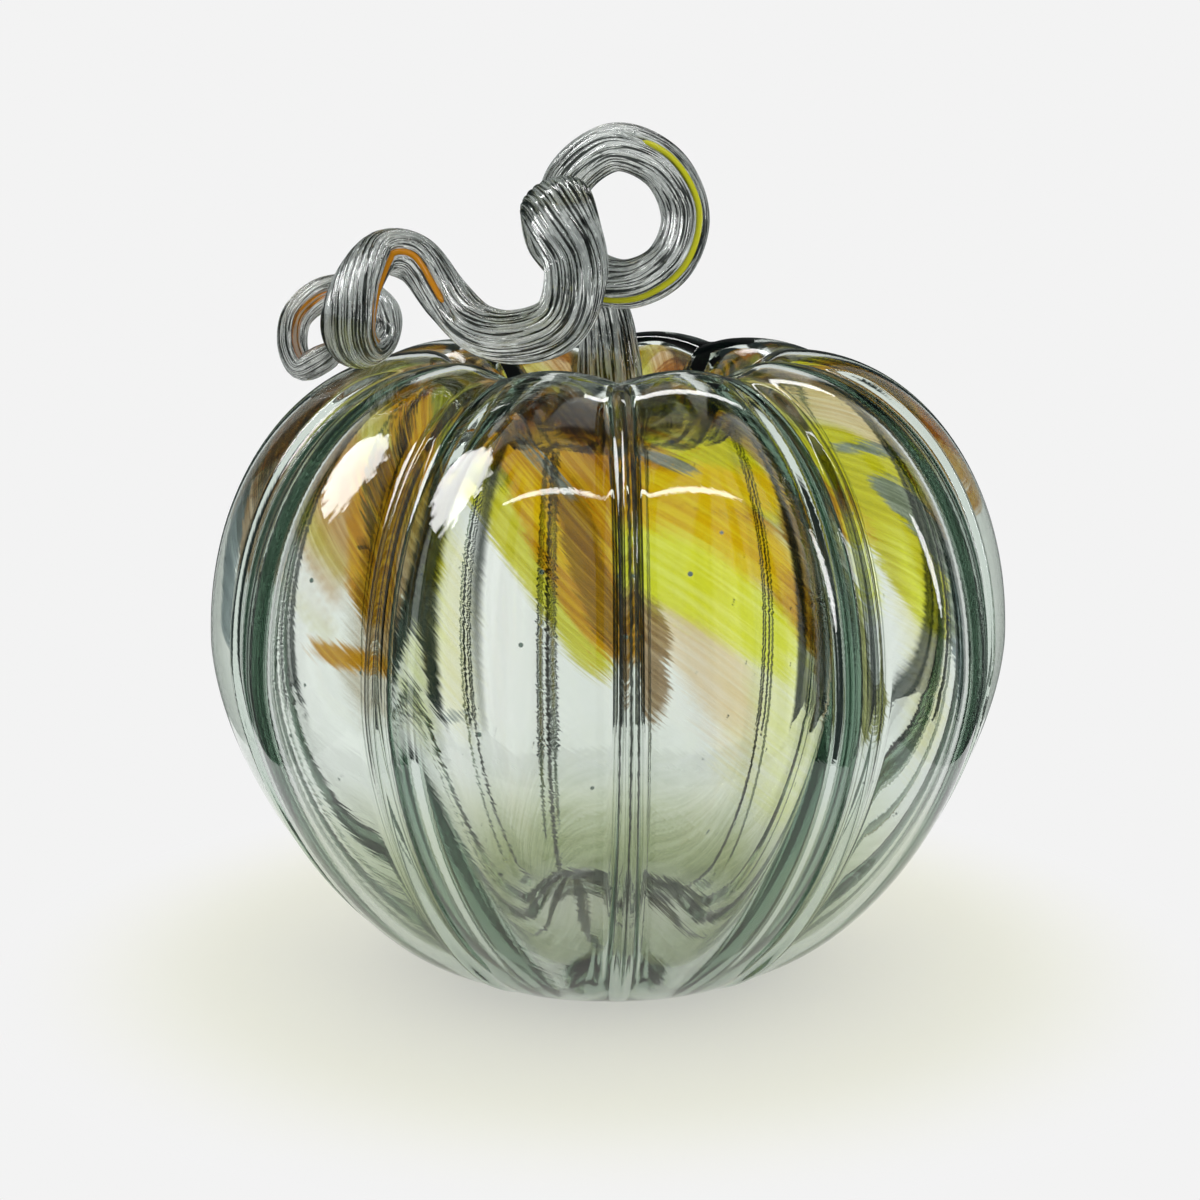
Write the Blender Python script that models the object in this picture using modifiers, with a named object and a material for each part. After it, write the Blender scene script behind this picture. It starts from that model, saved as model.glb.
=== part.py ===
"""A hand-blown glass pumpkin: a ribbed hollow body of two gathers and a curled cane stem.

Metres, +Z up. The body stands on z = 0 with its axis on Z, and the front of the object faces -Y.
"""

import math

import bmesh
import bpy
import numpy as np
from mathutils import Vector

# Half section of the body
BODY_RADIUS = 0.080
EQUATOR_HEIGHT = 0.068
CREST_HEIGHT = 0.125
CREST_RADIUS = 0.036
SHOULDER_POWER = 2.06
BELLY_POWER = 1.68
FOOT_OUTER_RADIUS = 0.026
FOOT_INNER_RADIUS = 0.017
KICK_UP = 0.012
DIP_FLOOR_HEIGHT = 0.110
DIP_FLOOR_RADIUS = 0.016
NECK_RADIUS = 0.009
CASING_WALL = 0.0042
BUBBLE_WALL = 0.0022
GAP = 0.0003
NEST_GAP = 0.0005

# Ribbed mould that shapes both gathers
LOBES = 10
STEPS_PER_LOBE = 6
FIRST_RIB = math.radians(-87.5)
STEP_CROWDING = 1.75
VALLEY_DEPTH = 0.0050
RIB_HEIGHT = 0.0034
RIB_HALF_WIDTH = 0.0030
RIB_STARTS = 0.034
RIB_FULL = 0.054
MOULD_STARTS = 0.016
MOULD_FULL = 0.034
FOOT_EASE = 0.012

# Stem: a cane wound from the neck through a ring, a front loop, an arch and a last curl
PLUG_RADIUS = 0.0083
PLUG_DEPTH = 0.0036
STEM_FOOT_RADIUS = 0.0125
STEM_ROUTE = (
    (0.0000, 0.0000, 0.1170),
    (-0.0001, 0.0000, 0.1240),
    (-0.0007, 0.0025, 0.1307),
    (-0.0039, 0.0060, 0.1393),
    (-0.0090, 0.0075, 0.1485),
    (-0.0078, 0.0060, 0.1584),
    (0.0011, 0.0035, 0.1645),
    (0.0106, 0.0005, 0.1606),
    (0.0147, -0.0030, 0.1513),
    (0.0113, -0.0070, 0.1425),
    (0.0032, -0.0105, 0.1389),
    (-0.0049, -0.0130, 0.1418),
    (-0.0100, -0.0145, 0.1484),
    (-0.0104, -0.0190, 0.1548),
    (-0.0088, -0.0280, 0.1518),
    (-0.0063, -0.0335, 0.1434),
    (-0.0089, -0.0355, 0.1344),
    (-0.0167, -0.0345, 0.1312),
    (-0.0244, -0.0305, 0.1323),
    (-0.0307, -0.0240, 0.1374),
    (-0.0367, -0.0195, 0.1442),
    (-0.0433, -0.0200, 0.1454),
    (-0.0474, -0.0250, 0.1400),
    (-0.0490, -0.0275, 0.1325),
    (-0.0480, -0.0200, 0.1274),
    (-0.0450, -0.0090, 0.1276),
    (-0.0444, -0.0010, 0.1318),
    (-0.0499, 0.0040, 0.1357),
    (-0.0568, 0.0055, 0.1356),
    (-0.0621, 0.0050, 0.1315),
    (-0.0632, 0.0040, 0.1258),
    (-0.0612, 0.0030, 0.1214),
    (-0.0567, 0.0022, 0.1233),
    (-0.0533, 0.0017, 0.1259),
)
STEM_STATIONS = 80
STEM_RIBS = 12
STEM_THICKNESS = 0.0095
STEM_WIDTH = 0.0140
STEM_FLARE = 0.42
STEM_FLARE_LENGTH = 0.010
STEM_TAPER_FROM = 0.53
STEM_TIP_SCALE = 0.58
RIB_GROOVE = 0.09
STEM_TWIST = math.radians(62)
FRAME_SMOOTHING = 12
FRAME_SURE_BEND = 0.15
FRAME_FREE_START = 0.14
SELF_GAP_SPACING = 0.030

# Threads melted into grooves of the stem
THREAD_RADIUS = 0.0006
THREAD_GAP = 0.0008
THREAD_GROOVE = 0.42
LIME_GROOVE = 1
LIME_SPAN = (0.214, 0.369)
AMBER_GROOVE = 23
AMBER_SPAN = (0.612, 0.787)


def clear_scene():
    """Removes every object that the file opened with."""
    for item in list(bpy.data.objects):
        bpy.data.objects.remove(item, do_unlink=True)


def add_collection(name):
    """A new collection linked to the scene."""
    made = bpy.data.collections.new(name)
    bpy.context.scene.collection.children.link(made)
    return made


def glass(name, colour, roughness):
    """A clear tinted glass as a Principled material."""
    made = bpy.data.materials.new(name)
    made.use_nodes = True
    shader = made.node_tree.nodes["Principled BSDF"]
    shader.inputs["Base Color"].default_value = (*colour, 1.0)
    shader.inputs["Roughness"].default_value = roughness
    shader.inputs["Transmission Weight"].default_value = 1.0
    shader.inputs["IOR"].default_value = 1.5
    made.diffuse_color = (*colour, 1.0)
    return made


def smooth_step(value):
    """0 below 0, 1 above 1, with level ends."""
    value = min(max(value, 0.0), 1.0)
    return value * value * (3.0 - 2.0 * value)


def outer_section(shoulder_count, dip_count, belly_count, kick_count):
    """The outside of the body from the neck to the base centre, as (radius, height) points."""
    points = [(NECK_RADIUS, DIP_FLOOR_HEIGHT)]
    for step in range(dip_count):
        share = step / dip_count
        radius = DIP_FLOOR_RADIUS + (CREST_RADIUS - DIP_FLOOR_RADIUS) * share
        rise = 0.5 - 0.5 * math.cos(math.pi * share)
        points.append((radius, DIP_FLOOR_HEIGHT + (CREST_HEIGHT - DIP_FLOOR_HEIGHT) * rise))
    for step in range(shoulder_count):
        turn = 0.5 * math.pi * step / shoulder_count
        out = math.sin(turn) ** (2.0 / SHOULDER_POWER)
        up = math.cos(turn) ** (2.0 / SHOULDER_POWER)
        points.append((CREST_RADIUS + (BODY_RADIUS - CREST_RADIUS) * out,
                       EQUATOR_HEIGHT + (CREST_HEIGHT - EQUATOR_HEIGHT) * up))
    for step in range(belly_count + 1):
        turn = 0.5 * math.pi * step / belly_count
        out = max(math.cos(turn), 0.0) ** (2.0 / BELLY_POWER)
        down = math.sin(turn) ** (2.0 / BELLY_POWER)
        points.append((FOOT_OUTER_RADIUS + (BODY_RADIUS - FOOT_OUTER_RADIUS) * out,
                       EQUATOR_HEIGHT * (1.0 - down)))
    for step in range(kick_count + 1):
        share = step / kick_count
        rise = 0.5 - 0.5 * math.cos(math.pi * share)
        points.append((FOOT_INNER_RADIUS * (1.0 - share), KICK_UP * rise))
    return points


def inset_section(points, depth):
    """The section moved into the glass by a depth, square to itself; its ends stay on neck and axis."""
    moved = []
    for place, (radius, height) in enumerate(points):
        before = Vector(points[max(place - 1, 0)])
        after = Vector(points[min(place + 1, len(points) - 1)])
        along = (after - before).normalized()
        inward = Vector((along.y, -along.x))
        moved.append((radius + inward.x * depth, height + inward.y * depth))
    moved[0] = (NECK_RADIUS, points[0][1] - depth)
    moved[-1] = (0.0, points[-1][1] + depth)
    return moved


def press_in_mould(mesh):
    """Crowds the turned steps toward the ribs, sinks the valleys and raises a round rib in each."""
    lobe_angle = 2.0 * math.pi / LOBES
    for vertex in mesh.vertices:
        x, y, z = vertex.co
        radius = math.hypot(x, y)
        if radius < 1e-7:
            continue
        turns = (math.atan2(y, x) / lobe_angle) % LOBES
        lobe = math.floor(turns + 1e-4)
        share = max(turns - lobe, 0.0)
        from_rib = min(share, 1.0 - share)
        crowded = 0.5 * (2.0 * from_rib) ** STEP_CROWDING
        side = 1.0 if share <= 0.5 else -1.0
        angle = FIRST_RIB + lobe_angle * (lobe + (crowded if side > 0 else 1.0 - crowded))
        valley = VALLEY_DEPTH * (radius / BODY_RADIUS) * (1.0 - 2.0 * crowded) ** 2
        rib = RIB_HEIGHT * math.exp(-((radius * lobe_angle * crowded / RIB_HALF_WIDTH) ** 2))
        if z > EQUATOR_HEIGHT:
            rib *= smooth_step((radius - RIB_STARTS) / (RIB_FULL - RIB_STARTS))
        ease = smooth_step((radius - MOULD_STARTS) / (MOULD_FULL - MOULD_STARTS))
        ease *= smooth_step(z / FOOT_EASE)
        outward = Vector((max(radius - CREST_RADIUS, 0.0), z - EQUATOR_HEIGHT))
        outward.normalize()
        shift = ease * (rib - valley)
        radius += shift * outward.x
        vertex.co = (radius * math.cos(angle), radius * math.sin(angle), z + shift * outward.y)


def turned_gather(name, section, collection, material):
    """A closed half section turned with a Screw modifier and then pressed in the ribbed mould."""
    profile = bpy.data.meshes.new(name + "_section")
    edges = [(place, place + 1) for place in range(len(section) - 1)]
    profile.from_pydata([(radius, 0.0, height) for radius, height in section], edges, [])
    turned = bpy.data.objects.new(name + "_section", profile)
    collection.objects.link(turned)
    screw = turned.modifiers.new("turn", "SCREW")
    screw.axis = "Z"
    screw.angle = 2.0 * math.pi
    screw.steps = LOBES * STEPS_PER_LOBE
    screw.render_steps = LOBES * STEPS_PER_LOBE
    screw.use_merge_vertices = True
    screw.merge_threshold = 0.00001
    bpy.context.view_layer.update()
    evaluated = turned.evaluated_get(bpy.context.evaluated_depsgraph_get())
    mesh = bpy.data.meshes.new_from_object(evaluated)
    bpy.data.objects.remove(turned, do_unlink=True)
    press_in_mould(mesh)
    return finish_mesh(name, mesh, collection, material)


def finish_mesh(name, mesh, collection, material):
    """Splits quads along their short diagonal, turns faces outward, smooths shading and links the object."""
    work = bmesh.new()
    work.from_mesh(mesh)
    bmesh.ops.triangulate(work, faces=work.faces, quad_method="SHORT_EDGE", ngon_method="BEAUTY")
    bmesh.ops.recalc_face_normals(work, faces=work.faces)
    for face in work.faces:
        face.smooth = True
    work.to_mesh(mesh)
    work.free()
    mesh.name = name
    mesh.materials.clear()
    mesh.materials.append(material)
    made = bpy.data.objects.new(name, mesh)
    collection.objects.link(made)
    return made


def spline_points(route, count):
    """Evenly spaced points on a Catmull-Rom curve through the route."""
    knots = np.array(route)
    ends = np.vstack([2 * knots[0] - knots[1], knots, 2 * knots[-1] - knots[-2]])
    fine = []
    for place in range(1, len(ends) - 2):
        p0, p1, p2, p3 = ends[place - 1:place + 3]
        for t in np.linspace(0.0, 1.0, 24, endpoint=False):
            fine.append(0.5 * (2 * p1 + (p2 - p0) * t + (2 * p0 - 5 * p1 + 4 * p2 - p3) * t * t
                               + (3 * p1 - p0 - 3 * p2 + p3) * t ** 3))
    fine.append(knots[-1])
    fine = np.array(fine)
    length = np.concatenate([[0.0], np.cumsum(np.linalg.norm(np.diff(fine, axis=0), axis=1))])
    even = np.linspace(0.0, length[-1], count)
    return np.stack([np.interp(even, length, fine[:, axis]) for axis in range(3)], axis=1), length[-1]


def winding_frames(centres):
    """Wide and thin axes of the flattened cane: the wide one follows the axis of each turn, without jumps.

    A frame is carried along the cane without twist. The angle from it to the axis of each turn is then
    averaged along the cane, weighted by how sharply it bends, and half a turn counts as no turn.
    """
    tangents = np.gradient(centres, axis=0)
    tangents /= np.linalg.norm(tangents, axis=1)[:, None]
    carried = np.zeros_like(centres)
    carried[0] = np.cross((1.0, 0.0, 0.0), tangents[0])
    for place in range(len(centres)):
        before = carried[max(place - 1, 0)]
        carried[place] = before - np.dot(before, tangents[place]) * tangents[place]
        carried[place] /= np.linalg.norm(carried[place])
    beside = np.cross(carried, tangents)
    last = len(centres) - 1
    turn_angles = np.zeros(len(centres))
    bends = np.zeros(len(centres))
    reference = None
    for place in range(len(centres)):
        axis = np.cross(tangents[max(place - 2, 0)], tangents[min(place + 2, last)])
        bends[place] = np.linalg.norm(axis) ** 2
        angle = math.atan2(np.dot(axis, beside[place]), np.dot(axis, carried[place]))
        if reference is not None:
            angle -= math.pi * round((angle - reference) / math.pi)
        turn_angles[place] = angle
        if bends[place] > FRAME_SURE_BEND:
            reference = angle
    weights = bends + 1e-4
    weights[:int(FRAME_FREE_START * len(centres))] = 1e-6
    sums = weights * turn_angles
    for _ in range(FRAME_SMOOTHING):
        weights = np.convolve(np.pad(weights, 1, mode="edge"), np.ones(3) / 3.0, mode="valid")
        sums = np.convolve(np.pad(sums, 1, mode="edge"), np.ones(3) / 3.0, mode="valid")
    angles = (sums / weights)[:, None]
    wide = np.cos(angles) * carried + np.sin(angles) * beside
    return wide, np.cross(wide, tangents)


def in_span(share, span, margin):
    """True where a station lies on a thread's part of the stem."""
    return span[0] - margin <= share <= span[1] + margin


def stem_rings():
    """Sections of the stem from the plug in the neck to the rounded tip."""
    centres, length = spline_points(STEM_ROUTE, STEM_STATIONS)
    wide, thin = winding_frames(centres)
    sides = 2 * STEM_RIBS
    angles = [2.0 * math.pi * side / sides for side in range(sides)]
    seat = DIP_FLOOR_HEIGHT + GAP
    rings = []
    for radius, height in ((PLUG_RADIUS, seat - PLUG_DEPTH), (PLUG_RADIUS, seat),
                           (STEM_FOOT_RADIUS, seat), (STEM_FOOT_RADIUS * 0.94, seat + 0.0026)):
        across = np.array([wide[0][0], wide[0][1], 0.0])
        across /= np.linalg.norm(across)
        beside = np.cross(across, (0.0, 0.0, 1.0))
        rings.append(np.array([(0.0, 0.0, height) + radius * (math.cos(a) * across + math.sin(a) * beside)
                               for a in angles]))
    for place in range(STEM_STATIONS):
        share = place / (STEM_STATIONS - 1)
        flare = math.exp(-((share * length / STEM_FLARE_LENGTH) ** 2))
        taper = 1.0 - (1.0 - STEM_TIP_SCALE) * smooth_step((share - STEM_TAPER_FROM) / (1.0 - STEM_TAPER_FROM))
        to_tip = (1.0 - share) * length / (STEM_THICKNESS * STEM_TIP_SCALE)
        if to_tip < 1.0:
            taper *= math.sqrt(max(1.0 - (1.0 - to_tip) ** 2, 0.12))
        half_thick = 0.5 * STEM_THICKNESS * taper * (1.0 + STEM_FLARE * flare)
        half_wide = 0.5 * (STEM_WIDTH + (STEM_THICKNESS - STEM_WIDTH) * flare) * taper * (1.0 + STEM_FLARE * flare)
        ring = []
        for side, angle in enumerate(angles):
            depth = RIB_GROOVE if side % 2 else 0.0
            if side == LIME_GROOVE and in_span(share, LIME_SPAN, 0.02):
                depth = THREAD_GROOVE
            if side == AMBER_GROOVE and in_span(share, AMBER_SPAN, 0.02):
                depth = THREAD_GROOVE
            turned = angle + STEM_TWIST * share
            offset = half_wide * math.cos(turned) * wide[place] + half_thick * math.sin(turned) * thin[place]
            ring.append(centres[place] + (1.0 - depth * (1.0 - 0.5 * flare)) * offset)
        rings.append(np.array(ring))
    return rings


def skin(name, rings, collection, material):
    """A closed loft through sections of equal count, capped at both ends."""
    work = bmesh.new()
    loops = [[work.verts.new(point) for point in ring] for ring in rings]
    count = len(loops[0])
    for first, second in zip(loops, loops[1:]):
        for side in range(count):
            work.faces.new((first[side], first[(side + 1) % count], second[(side + 1) % count], second[side]))
    work.faces.new(list(reversed(loops[0])))
    work.faces.new(loops[-1])
    mesh = bpy.data.meshes.new(name)
    work.to_mesh(mesh)
    work.free()
    return finish_mesh(name, mesh, collection, material)


def thread_cane(name, rings, groove, span, collection, material):
    """A thin cane laid in a deepened groove of the stem, as a bevelled curve with filled ends."""
    sections = rings[-STEM_STATIONS:]
    curve = bpy.data.curves.new(name, "CURVE")
    curve.dimensions = "3D"
    curve.bevel_depth = THREAD_RADIUS
    curve.bevel_resolution = 1
    curve.use_fill_caps = True
    path = []
    for place in range(STEM_STATIONS):
        if in_span(place / (STEM_STATIONS - 1), span, 0.0):
            ring = sections[place]
            left = ring[(groove - 1) % len(ring)]
            right = ring[(groove + 1) % len(ring)]
            bottom = ring[groove]
            ridge = 0.5 * (left + right)
            half_open = 0.5 * np.linalg.norm(right - left)
            depth = np.linalg.norm(ridge - bottom)
            lift = (THREAD_RADIUS + THREAD_GAP) * math.hypot(half_open, depth) / half_open
            path.append(bottom + (ridge - bottom) / depth * lift)
    spline = curve.splines.new("POLY")
    spline.points.add(len(path) - 1)
    for point, place in zip(spline.points, path):
        point.co = (*place, 1.0)
    curve.materials.append(material)
    made = bpy.data.objects.new(name, curve)
    collection.objects.link(made)
    return made


def least_self_gap(rings):
    """Least distance between points of turns that lie well apart along the stem."""
    sections = np.array(rings[-STEM_STATIONS:])
    spacing = np.linalg.norm(np.diff(sections.mean(axis=1), axis=0), axis=1).mean()
    apart = int(SELF_GAP_SPACING / spacing)
    least = 1.0
    for place in range(STEM_STATIONS - apart):
        far = sections[place + apart:].reshape(-1, 3)
        for point in sections[place]:
            least = min(least, float(np.min(np.linalg.norm(far - point, axis=1))))
    return least


clear_scene()
pumpkin = add_collection("glass_pumpkin")

smoky = glass("smoky_clear_glass", (0.62, 0.64, 0.60), 0.02)
amber_glass = glass("amber_streaked_glass", (0.72, 0.47, 0.10), 0.02)
stem_glass = glass("grey_green_cane_glass", (0.50, 0.54, 0.48), 0.03)
thread_amber = glass("amber_cane_glass", (0.80, 0.38, 0.03), 0.03)
thread_lime = glass("lime_cane_glass", (0.70, 0.75, 0.05), 0.03)

# The outer gather: full outside, and an inside that follows it at the wall's depth
outside = outer_section(9, 5, 9, 3)
guide = outer_section(5, 3, 6, 2)
casing_inside = inset_section(guide, CASING_WALL)
turned_gather("outer_casing", list(reversed(casing_inside)) + outside, pumpkin, smoky)

# The first gather nests in the outer one
bubble_outside = inset_section(guide, CASING_WALL + NEST_GAP)
bubble_inside = inset_section(guide, CASING_WALL + NEST_GAP + BUBBLE_WALL)
turned_gather("colour_bubble", list(reversed(bubble_inside)) + bubble_outside, pumpkin, amber_glass)

sections = stem_rings()
skin("stem", sections, pumpkin, stem_glass)
thread_cane("lime_thread", sections, LIME_GROOVE, LIME_SPAN, pumpkin, thread_lime)
thread_cane("amber_thread", sections, AMBER_GROOVE, AMBER_SPAN, pumpkin, thread_amber)

print("stem least gap to itself: %.2f mm" % (1000.0 * least_self_gap(sections)))
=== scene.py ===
"""Looks of a hand-blown glass pumpkin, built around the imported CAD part."""

import math

import bpy
import numpy as np
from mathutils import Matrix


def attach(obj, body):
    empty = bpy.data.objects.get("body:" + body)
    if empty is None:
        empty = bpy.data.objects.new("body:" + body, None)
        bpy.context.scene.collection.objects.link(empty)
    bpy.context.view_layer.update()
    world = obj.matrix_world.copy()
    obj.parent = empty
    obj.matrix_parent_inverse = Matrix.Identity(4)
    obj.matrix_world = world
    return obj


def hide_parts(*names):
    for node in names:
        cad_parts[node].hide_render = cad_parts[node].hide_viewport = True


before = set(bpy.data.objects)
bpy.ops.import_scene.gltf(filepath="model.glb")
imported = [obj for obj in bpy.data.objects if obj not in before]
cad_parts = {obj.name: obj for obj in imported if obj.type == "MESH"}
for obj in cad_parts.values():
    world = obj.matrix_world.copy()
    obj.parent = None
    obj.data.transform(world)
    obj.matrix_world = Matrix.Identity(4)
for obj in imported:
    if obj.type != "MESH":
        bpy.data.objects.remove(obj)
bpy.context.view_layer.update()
scene = bpy.context.scene
scene.view_settings.view_transform = "Standard"


# Studio: a pale table in a room of eight white wall panels with dark gaps, under a grey ceiling.
# The glass shows the panels through itself in full and mirrors them dimly, and cards with torn
# edges give its highlights. Light may bounce often, because it runs far along inside thick glass.
class Shade:
    """A shader socket that joins in Python arithmetic: each operator adds one Math node."""

    def __init__(self, tree, socket=None):
        self.tree = tree
        self.socket = socket

    def node(self, kind, settings=(), inputs=(), output=0):
        """Adds a node, sets its settings and then its sockets, and wraps one of its outputs."""
        made = self.tree.nodes.new(kind)
        for name, value in dict(settings).items():
            setattr(made, name, value)
        for key, value in dict(inputs).items():
            if isinstance(value, Shade):
                self.tree.links.new(value.socket, made.inputs[key])
            else:
                made.inputs[key].default_value = value
        return Shade(self.tree, made.outputs[output] if made.outputs else None)

    def other(self, output):
        """Another output of the same node."""
        return Shade(self.tree, self.socket.node.outputs[output])

    def mix(self, first, second):
        """A colour between two, with this socket as the factor."""
        return self.node("ShaderNodeMix", {"data_type": "RGBA"}, {0: self, 6: first, 7: second}, 2)

    def math(self, operation, *values):
        """One Math node on the values given."""
        return self.node("ShaderNodeMath", {"operation": operation}, enumerate(values))

    def step(self, low, high):
        """0 below low, 1 above high, with a smooth rise between."""
        return self.node("ShaderNodeMapRange", {"interpolation_type": "SMOOTHSTEP"},
                         {"Value": self, "From Min": low, "From Max": high})

    def __add__(self, other):
        return self.math("ADD", self, other)

    def __radd__(self, other):
        return self.math("ADD", other, self)

    def __sub__(self, other):
        return self.math("SUBTRACT", self, other)

    def __rsub__(self, other):
        return self.math("SUBTRACT", other, self)

    def __mul__(self, other):
        return self.math("MULTIPLY", self, other)

    def __rmul__(self, other):
        return self.math("MULTIPLY", other, self)


BACKGROUND = (0.896, 0.896, 0.896, 1.0)
SOFT_LIGHT = (1.0, 1.0, 1.0, 1.0)
ROOM_DARK = (0.016, 0.024, 0.024, 1.0)
ROOM_WHITE = (1.0, 1.0, 1.0, 1.0)
ROOM_SHEEN = (0.05, 0.055, 0.055, 1.0)
PANEL_EDGE = (-0.68, 0.02)
CEILING = (0.62, 0.62, 0.60, 1.0)
CEILING_SHEEN = (0.16, 0.15, 0.155, 1.0)
CEILING_EDGE = (0.88, 0.98)

scene.cycles.max_bounces = 24
scene.cycles.glossy_bounces = 16
scene.cycles.transmission_bounces = 24
world = bpy.data.worlds.new("light_tent")
world.use_nodes = True
world.node_tree.nodes.clear()
scene.world = world
room = Shade(world.node_tree)
heading = room.node("ShaderNodeTexCoord", output="Generated")
level = room.node("ShaderNodeVectorMath", {"operation": "MULTIPLY"}, {0: heading, 1: (1.0, 1.0, 0.0)})
level = room.node("ShaderNodeVectorMath", {"operation": "NORMALIZE"}, {0: level})
toward_wall = room.node("ShaderNodeSeparateXYZ", inputs={0: level}, output="Y")
# Cosines of four and of eight times the heading: the second is high on the eight panels.
wall_square = toward_wall * toward_wall
four_fold = 8.0 * wall_square * (wall_square - 1.0) + 1.0
eight_fold = 2.0 * four_fold * four_fold - 1.0
rays = room.node("ShaderNodeLightPath", output="Is Camera Ray")
seen_through = rays.other("Is Transmission Ray")
panels = seen_through.mix(ROOM_SHEEN, ROOM_WHITE)
walls = eight_fold.step(*PANEL_EDGE).mix(ROOM_DARK, panels)
ceiling = seen_through.mix(CEILING_SHEEN, CEILING)
steepness = room.node("ShaderNodeSeparateXYZ", inputs={0: heading}, output="Z")
tent = steepness.step(*CEILING_EDGE).mix(walls, ceiling)
# Matt surfaces get an even light, and the camera sees a plain backdrop.
lighting = rays.other("Diffuse Depth").step(0.0, 1.0).mix(tent, SOFT_LIGHT)
backdrop = rays.mix(lighting, BACKGROUND)
lit = room.node("ShaderNodeBackground", inputs={"Color": backdrop, "Strength": 1.0})
room.node("ShaderNodeOutputWorld", inputs={"Surface": lit})


def fresh_material(name):
    """A material with an empty node tree, and the Shade that fills it."""
    material = bpy.data.materials.new(name)
    material.use_nodes = True
    material.node_tree.nodes.clear()
    return material, Shade(material.node_tree)


TABLE_HALF = 0.14
TABLE_DROP = 0.0003
# The table's matt colour shows only round the base. Its cream is painted light: the tint that light through
# the amber glass would cast.
TABLE_PAINTED_LIGHT_TINT = (0.96, 0.96, 0.72, 1.0)
SHADOW_REACH = (0.075, 0.125)
PAPER_GLOW = 0.50
SQUARE = np.array(((-1.0, -1.0, 0.0), (1.0, -1.0, 0.0), (1.0, 1.0, 0.0), (-1.0, 1.0, 0.0)))

table_mesh = bpy.data.meshes.new("table")
table_mesh.from_pydata((TABLE_HALF * SQUARE).tolist(), [], [(0, 1, 2, 3)])
table_paint, paint = fresh_material("pale_table")
on_table = paint.node("ShaderNodeTexCoord", output="Object")
away = paint.node("ShaderNodeVectorMath", {"operation": "LENGTH"}, {0: on_table}, "Value")
plain = paint.node("ShaderNodeBsdfDiffuse", inputs={"Color": TABLE_PAINTED_LIGHT_TINT})
glow = paint.node("ShaderNodeEmission", inputs={"Color": BACKGROUND})
glowing = PAPER_GLOW + (1.0 - PAPER_GLOW) * away.step(*SHADOW_REACH)
table_top = paint.node("ShaderNodeMixShader", inputs={0: glowing, 1: plain, 2: glow})
paint.node("ShaderNodeOutputMaterial", inputs={"Surface": table_top})
table_mesh.materials.append(table_paint)
table = bpy.data.objects.new("table", table_mesh)
table.location.z = -TABLE_DROP
scene.collection.objects.link(table)

CARDS_FACE = np.array((0.0, 0.0, 0.075))
TORN_SCALE = 2.5
TORN_DETAIL = 4.0
TORN_DEPTH = 1.6
TORN_EDGE = (0.85, 1.10)
WHITE = (1.0, 1.0, 1.0, 1.0)
BLACK = (0.0, 0.0, 0.0, 1.0)


def store(mesh, name, vectors):
    """Keeps one vector for each vertex, under a name that the material reads."""
    layer = mesh.attributes.new(name, "FLOAT_VECTOR", "POINT")
    layer.data.foreach_set("vector", vectors.astype(np.float32).ravel())


def light_card(name, centre, width, height, strength):
    """A glowing card: a rectangle square to the line from its centre to the body. The glow has a torn
    edge, where the way from the centre in half widths, plus noise, passes about 1."""
    to_body = CARDS_FACE - np.array(centre)
    to_body = to_body / np.linalg.norm(to_body)
    side = np.cross((0.0, 0.0, 1.0), to_body)
    side = side / np.linalg.norm(side) * width / 2
    rise = np.cross(to_body, side)
    rise = rise / np.linalg.norm(rise) * height / 2
    corners = np.array(centre) + SQUARE[:, :1] * side + SQUARE[:, 1:2] * rise
    mesh = bpy.data.meshes.new(name)
    mesh.from_pydata(corners.tolist(), [], [(0, 1, 2, 3)])
    store(mesh, "on_card", SQUARE)
    card_paint, lamp = fresh_material(name)
    on_card = lamp.node("ShaderNodeAttribute", {"attribute_name": "on_card"}, output="Vector")
    torn = lamp.node("ShaderNodeTexNoise", inputs={
        "Vector": on_card, "Scale": TORN_SCALE, "Detail": TORN_DETAIL})
    outward = lamp.node("ShaderNodeVectorMath", {"operation": "LENGTH"}, {0: on_card}, "Value")
    fade = (outward + (torn - 0.5) * TORN_DEPTH).step(*TORN_EDGE)
    shine = lamp.node("ShaderNodeEmission", inputs={"Color": fade.mix(WHITE, BLACK), "Strength": strength})
    lamp.node("ShaderNodeOutputMaterial", inputs={"Surface": shine})
    mesh.materials.append(card_paint)
    card = bpy.data.objects.new(name, mesh)
    card.visible_camera = False
    card.visible_diffuse = False
    card.visible_transmission = False
    scene.collection.objects.link(card)


light_card("left_window", (-0.66, -0.01, 0.72), width=0.46, height=0.54, strength=14.0)
light_card("right_window", (0.90, -0.02, 0.30), width=0.06, height=0.42, strength=13.0)
light_card("back_strip", (0.0, 0.55, 0.80), width=0.80, height=0.08, strength=8.0)
light_card("ceiling_strip", (0.02, -0.42, 0.80), width=0.85, height=0.035, strength=16.0)

PHOTO_WIDTH = 1200
FOCAL_PIXELS = 2576.0
SENSOR_WIDTH = 36.0
CAMERA_DISTANCE = 0.520
CAMERA_ELEVATION = math.radians(11.8)
AIM = (-0.0019, 0.0, 0.0745)

camera_data = bpy.data.cameras.new("camera")
camera_data.sensor_width = SENSOR_WIDTH
camera_data.sensor_fit = "HORIZONTAL"
camera_data.lens = SENSOR_WIDTH * FOCAL_PIXELS / PHOTO_WIDTH
camera_data.clip_start = 0.01
camera = bpy.data.objects.new("camera", camera_data)
camera.location = (AIM[0], AIM[1] - CAMERA_DISTANCE * math.cos(CAMERA_ELEVATION),
                   AIM[2] + CAMERA_DISTANCE * math.sin(CAMERA_ELEVATION))
camera.rotation_euler = (math.radians(90) - CAMERA_ELEVATION, 0.0, 0.0)
scene.collection.objects.link(camera)
scene.camera = camera
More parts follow.
